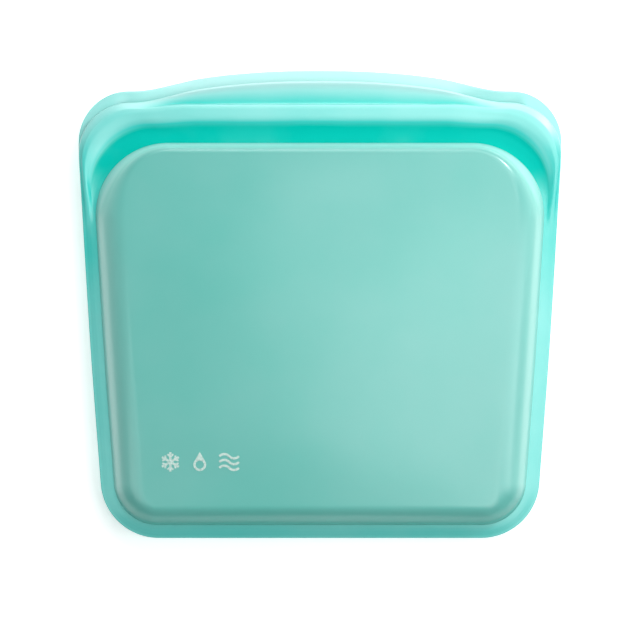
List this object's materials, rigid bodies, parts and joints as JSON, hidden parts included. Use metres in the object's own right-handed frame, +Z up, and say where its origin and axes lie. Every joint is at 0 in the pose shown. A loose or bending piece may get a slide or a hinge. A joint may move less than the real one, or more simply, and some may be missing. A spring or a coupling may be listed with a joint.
{
  "type": "reusable silicone bag",
  "caption": "Flat translucent silicone food storage bag with a raised pouch, a bonded rim, a press seal under a ridge along its mouth, and two flared lips.",
  "frame": {"origin": "centre of the bag's footprint, on the surface that its back lies on", "axes": "+X to the right across the bag, +Y from the bottom edge towards the mouth, +Z up out of the front panel"},
  "size_m": [0.1906, 0.1846, 0.025],
  "materials": {
    "silicone": "satin translucent aqua silicone",
    "clear_silicone": "satin, thin and see-through aqua silicone",
    "white_print": "translucent white silicone ink"
  },
  "bodies": {
    "pouch": {"back_panel": "clear_silicone", "bonded_rim": "silicone", "right_seal_end": "silicone", "left_seal_end": "silicone"},
    "front_wall": {"front_panel": "clear_silicone", "printed_marks": "white_print"},
    "front_mouth": {"front_header": "silicone", "seal_channel": "silicone"},
    "front_pull": {"front_lip": "silicone"},
    "back_mouth": {"back_header": "silicone", "seal_bead": "silicone", "back_lip": "silicone"}
  },
  "joints": [
    {"name": "front_mouth_open", "type": "hinge", "parent": "pouch", "child": "front_mouth", "pos_m": [0, 0.0645, 0.0134], "axis": [1, 0, 0], "range_deg": [0, 60], "stiffness_Nm_per_rad": 0.04},
    {"name": "front_lip_peel", "type": "hinge", "parent": "front_mouth", "child": "front_pull", "pos_m": [0, 0.0796, 0.0151], "axis": [1, 0, 0], "range_deg": [0, 50], "stiffness_Nm_per_rad": 0.004},
    {"name": "back_mouth_open", "type": "hinge", "parent": "pouch", "child": "back_mouth", "pos_m": [0, 0.0645, 0.0106], "axis": [1, 0, 0], "range_deg": [-13, 0], "stiffness_Nm_per_rad": 0.15},
    {"name": "pouch_flatten", "type": "slide", "parent": "pouch", "child": "front_wall", "axis": [0, 0, 1], "range_m": [-0.008, 0], "stiffness_N_per_m": 500, "springref_m": 0.001, "deforming": ["front_panel"]}
  ]
}
